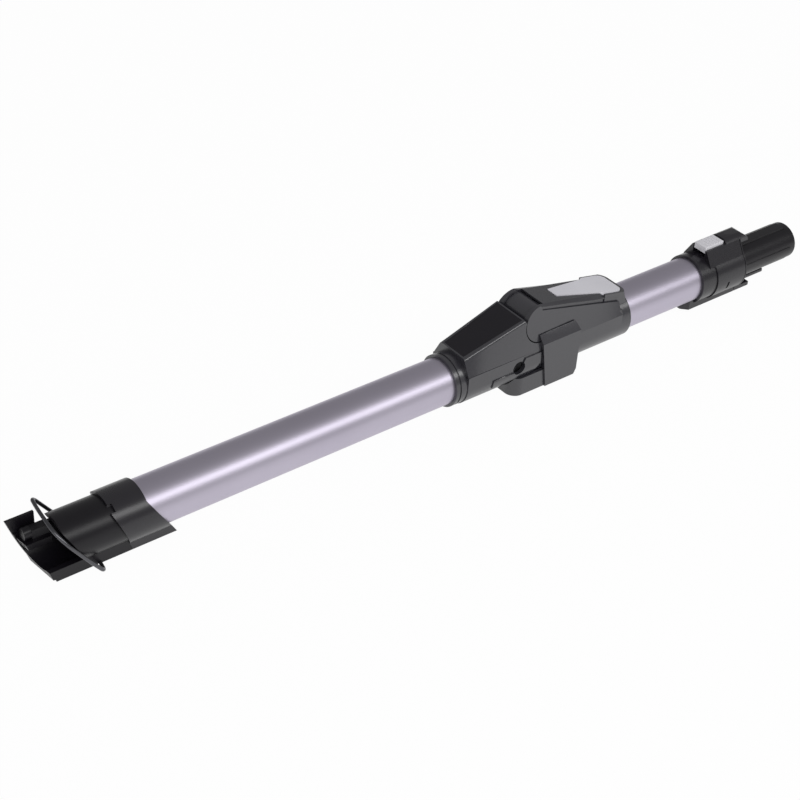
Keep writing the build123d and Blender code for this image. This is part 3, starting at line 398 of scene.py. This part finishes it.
# %% Rounded mouldings
rounded("lower_hinge_cover", 0.3 * millimetre)
upper_cover = rounded("upper_hinge_cover", 0.3 * millimetre)
rounded("guard", 0.35 * millimetre, 1.3 * millimetre)
rounded("button_hood", 0.3 * millimetre, 1.2 * millimetre)
rounded("contact_tongue", 0.2 * millimetre, 0.8 * millimetre)
for node in ("lower_hinge_shell", "upper_hinge_shell", "knuckle_arm", "pin_cap", "socket_shell",
             "socket_collar", "spigot_collar", "spigot"):
    rounded(node, 0.4 * millimetre)
rounded("terminal_block", 0.3 * millimetre)
rounded("inlay_plate", 0.15 * millimetre)
rounded("release_button", 0.5 * millimetre)
rounded("catch_button", 0.3 * millimetre)

# %% [markdown]
# The upper cover has a narrow groove along each side. The foot of each groove gets painted shade, a
# near-black matt finish standing in for the shadow there. Painting its foot by height would miss it, because
# it climbs with the cover, so it is found by its depth below the side wall. The photograph's angle hides
# nearly all of it.

# %% Painted shade in the upper cover's groove
groove_shallow = 0.5 * millimetre
groove_deep = 1.5 * millimetre
facing_sideways = 0.7
facing_alike = 0.97


def paint_groove_shade(piece):
    """Paint shade, with the near-black matt finish, on faces that are parallel to a side's largest wall and
    lie a little below it.
    """
    mesh = piece.data
    count = len(mesh.polygons)
    middles, normals, areas = np.empty(count * 3), np.empty(count * 3), np.empty(count)
    mesh.polygons.foreach_get("center", middles)
    mesh.polygons.foreach_get("normal", normals)
    mesh.polygons.foreach_get("area", areas)
    middles, normals = middles.reshape(-1, 3), normals.reshape(-1, 3)
    painted_shade_faces = np.zeros(count, bool)
    for side in (-1, 1):
        wall = np.argmax(np.where(normals[:, 1] * side > facing_sideways, areas, 0.0))
        depth = (middles[wall] - middles) @ normals[wall]
        parallel = normals @ normals[wall] > facing_alike
        painted_shade_faces |= parallel & (depth > groove_shallow) & (depth < groove_deep)
    # The faces found here get painted shade, the near-black matt finish.
    mesh.materials.append(groove_painted_shade)
    mesh.polygons.foreach_set("material_index", painted_shade_faces.astype(np.int32))
    print("groove faces:", int(painted_shade_faces.sum()))


paint_groove_shade(upper_cover)

# %% [markdown]
# ## Surfaces from grids
# The hose and the springs could be made with Screw and Array modifiers. They are worked out as grids of
# points instead, whole arrays of positions from two parameters joined by quads, because a piece that
# bends or is squashed has to be smooth, even and closed.


# %% Grid surfaces
def grid_faces(rows, columns, close_rows):
    """Quads between neighbours on a grid that always closes round its columns."""
    row = np.arange(rows if close_rows else rows - 1)[:, None]
    column = np.arange(columns)[None, :]
    next_row = (row + 1) % rows
    next_column = (column + 1) % columns
    return np.stack([row * columns + column, row * columns + next_column,
                     next_row * columns + next_column, next_row * columns + column], axis=-1).reshape(-1, 4)


grid_crease = math.radians(50)


def grid_piece(name, points, close_rows=False):
    """A smooth piece from an array of points of shape (rows, columns, 3), with its open ends capped."""
    rows, columns = points.shape[:2]
    faces = grid_faces(rows, columns, close_rows).tolist()
    if not close_rows:
        faces += [list(range(columns - 1, -1, -1)), list(range((rows - 1) * columns, rows * columns))]
    mesh = bpy.data.meshes.new(name)
    mesh.from_pydata(points.reshape(-1, 3).tolist(), [], faces)
    shape = bmesh.new()
    shape.from_mesh(mesh)
    bmesh.ops.recalc_face_normals(shape, faces=shape.faces)
    return smooth_piece(mesh, shape, grid_crease)


print("grids ready")

# %% [markdown]
# ## The hose through the hinge
# Air has to pass the hinge when it is folded, so a corrugated rubber hose joins the two tubes. Its wall
# is a wave turned round the tubes' axis. Here it is made straight and is attached to neither body.

# %% Hinge hose
hose_low, hose_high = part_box("flex_hose")
hose_crest = hose_high.z
hose_fold_depth = 1.7 * millimetre
hose_root = hose_crest - hose_fold_depth
hose_wall = 0.9 * millimetre
hose_folds = 9


def hose_points(steps=96, sides=72):
    """Rings along the hose. Their radius grows from the root to the crest and back once in every fold, by
    half of one less the cosine. The rings go out along this wave and come back a wall's thickness inside
    it, and each ring is the radius times the cosine and the sine of its angle."""
    share = np.linspace(0.0, 1.0, steps)
    wave = 0.5 - 0.5 * np.cos(2 * np.pi * hose_folds * share)
    x = hose_low.x + (hose_high.x - hose_low.x) * share
    outer = hose_root + (hose_crest - hose_root) * wave
    radius = np.concatenate([outer, outer[::-1] - hose_wall])
    along = np.concatenate([x, x[::-1]])
    angle = np.linspace(0.0, 2 * np.pi, sides, endpoint=False)
    return np.stack([np.repeat(along[:, None], sides, axis=1), radius[:, None] * np.cos(angle),
                     radius[:, None] * np.sin(angle)], axis=-1)


hose = grid_piece("hinge_hose", hose_points(), close_rows=True)
hose.data.materials.append(rubber)
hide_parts("flex_hose")
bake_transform(hose)

# %% [markdown]
# ## Return springs
# Each button stands on a coil spring, wound a little closer at both ends. A spring shortens as its button
# goes down, so it rides on the housing. Here the share of its length that it would keep under the button's
# travel is only worked out and printed, and the coil is left at full length. Squashed along its own axis,
# the wire would flatten too, which a real spring can't do: six turns of this wire are solid well before
# then.

# %% Coil springs
spring_wire = 0.4 * millimetre
end_closeness = 0.5


def spring_points(low, high, turns=6, steps_per_turn=40, sides=12):
    """A round wire along a helix. The angle grows evenly. The height grows as the share of the way less
    half of that share's sine over two pi, which halves the climb at both ends. Round each point of the
    helix, the wire's radius goes out by the cosine and up by the sine of the angle round the wire."""
    share = np.linspace(0.0, 1.0, turns * steps_per_turn + 1)
    ease = share - np.sin(2 * np.pi * share) / (2 * np.pi) * end_closeness
    coil = (high.x - low.x) / 2 - spring_wire
    middle = (low + high) / 2
    turn = 2 * np.pi * turns * share
    outward = np.stack([np.cos(turn), np.sin(turn), np.zeros_like(turn)], axis=-1)
    path = np.stack([middle.x + coil * np.cos(turn), middle.y + coil * np.sin(turn),
                     low.z + spring_wire + (high.z - low.z - 2 * spring_wire) * ease], axis=-1)
    forward = np.gradient(path, axis=0)
    forward /= np.linalg.norm(forward, axis=1, keepdims=True)
    upward = np.cross(forward, outward)
    angle = np.linspace(0.0, 2 * np.pi, sides, endpoint=False)
    ring = (np.cos(angle)[None, :, None] * outward[:, None, :]
            + np.sin(angle)[None, :, None] * upward[:, None, :])
    return path[:, None, :] + spring_wire * ring


# %% Return springs
pivot_low, pivot_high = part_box("button_pivot")
pivot_line_x = (pivot_low.x + pivot_high.x) / 2
button_swing = np.radians(3.2)
catch_travel = 3.0 * millimetre

for node, joint in (("button_spring", "button_press"), ("catch_spring", "catch_press")):
    low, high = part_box(node)
    reach = max(abs(low.x - pivot_line_x), abs(high.x - pivot_line_x))
    travel = catch_travel if node == "catch_spring" else reach * np.sin(button_swing)
    length = high.z - low.z
    spring = grid_piece(f"{node}_coil", spring_points(low, high))
    spring.data.materials.append(steel)
    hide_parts(node)
    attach(spring, "upper")
    pressed_share = float(1 - travel / length)
    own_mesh(spring)
    print(node, "is", round(length / millimetre, 2), "mm long and keeps", round(pressed_share, 3))

# %% [markdown]
# ## Floor
# Laid down, the wand rests on the guard under its hinge and on its floor end, so its axis is not quite
# level with the floor. The wand stays in its own frame and the floor is tilted instead, through the
# guard's foot and just under the floor end.

# %% Floor
guard_reach = 0.1
floor_half = 30.0
floor_gap = 0.05 * millimetre


def all_points():
    """Every corner of every solid, as one array."""
    parts = []
    for part in nodes.values():
        corners = np.empty(len(part.data.vertices) * 3, np.float32)
        part.data.vertices.foreach_get("co", corners)
        parts.append(corners.reshape(-1, 3))
    return np.concatenate(parts)


corners = all_points()
foot = corners[np.argmin(corners[:, 2])]
beyond = corners[corners[:, 0] < foot[0] - guard_reach]
floor_slope = np.max((foot[2] - beyond[:, 2]) / (foot[0] - beyond[:, 0]))
floor_corners = [(foot[0] + x, y, foot[2] + floor_slope * x - floor_gap)
                 for x, y in ((-floor_half, -floor_half), (floor_half, -floor_half),
                              (floor_half, floor_half), (-floor_half, floor_half))]
floor_mesh = bpy.data.meshes.new("floor")
floor_mesh.from_pydata(floor_corners, [], [(0, 1, 2, 3)])
floor = bpy.data.objects.new("floor", floor_mesh)
bpy.context.scene.collection.objects.link(floor)
print("floor slope", round(math.degrees(math.atan(floor_slope)), 2), "degrees")

# %% [markdown]
# The photograph's ground is plain white. Stronger lamps would whiten the floor, but bleach the wand too.
# So the floor is mostly a white card that glows by itself to the camera and in reflections, and the rest
# of it is a plain matt surface, which keeps a soft shadow.

# %% White floor
card_share = 0.97
mirrored_share = 0.7
floor_finish = Finish("white_floor", {})
floor_finish.tree.nodes.remove(floor_finish.shader)
matt = floor_finish.node("ShaderNodeBsdfDiffuse", {}, {"Color": (0.8, 0.8, 0.8, 1.0)})
glow = floor_finish.node("ShaderNodeEmission", {}, {"Color": (1.0, 1.0, 1.0, 1.0), "Strength": 1.0})
card = (card_share * floor_finish.ray("Camera") + mirrored_share * floor_finish.ray("Glossy")
        + card_share * floor_finish.ray("Transmission"))
ground = floor_finish.node("ShaderNodeMixShader", {}, {0: card, 1: matt, 2: glow})
floor_finish.tree.links.new(ground.socket, floor_finish.tree.nodes["Material Output"].inputs["Surface"])
floor_mesh.materials.append(floor_finish.material)
print("the floor is", round(100 * card_share), "% white card to the camera")

# %% [markdown]
# ## Light
# One long soft box above the near side draws the bright line along the tubes. Several small lamps would
# draw several lines. The room round it is white to the camera, half as bright to matt surfaces and dimmer
# still in reflections, so the metal keeps its dark bands beside the bright one.

# %% Soft box
middle_x = float(cad_box[0][0] + cad_box[1][0]) / 2


def soft_box(name, turn, distance, size, radiance):
    """An area lamp at an angle from the zenith towards the near side, facing the wand's middle. Its power
    is its radiance times its area times pi."""
    lamp = bpy.data.lights.new(name, "AREA")
    lamp.shape = "RECTANGLE"
    lamp.size, lamp.size_y = size
    lamp.energy = radiance * math.pi * size[0] * size[1]
    way = Vector((0.0, -math.sin(math.radians(turn)), math.cos(math.radians(turn))))
    holder = bpy.data.objects.new(name, lamp)
    holder.matrix_world = (Matrix.Translation(Vector((middle_x, 0.0, 0.0)) + way * distance)
                           @ Matrix.Rotation(math.radians(turn), 4, "X"))
    bpy.context.scene.collection.objects.link(holder)
    print(name, "gives", round(lamp.energy, 2), "watts")


soft_box("key_box", turn=50.0, distance=1.3, size=(2.6, 0.40), radiance=3.2)

# %% White room
matt_light = 0.5
dimmed_in_gloss = 0.2
world = bpy.data.worlds.new("studio")
bpy.context.scene.world = world
world.use_nodes = True
room = Sheet(world.node_tree)
background = world.node_tree.nodes["Background"]
background.inputs["Color"].default_value = (1.0, 1.0, 1.0, 1.0)
strength = matt_light + (1.0 - matt_light) * room.ray("Camera") - dimmed_in_gloss * room.ray("Glossy")
world.node_tree.links.new(strength.socket, background.inputs["Strength"])
print("lit by one soft box and a white room")
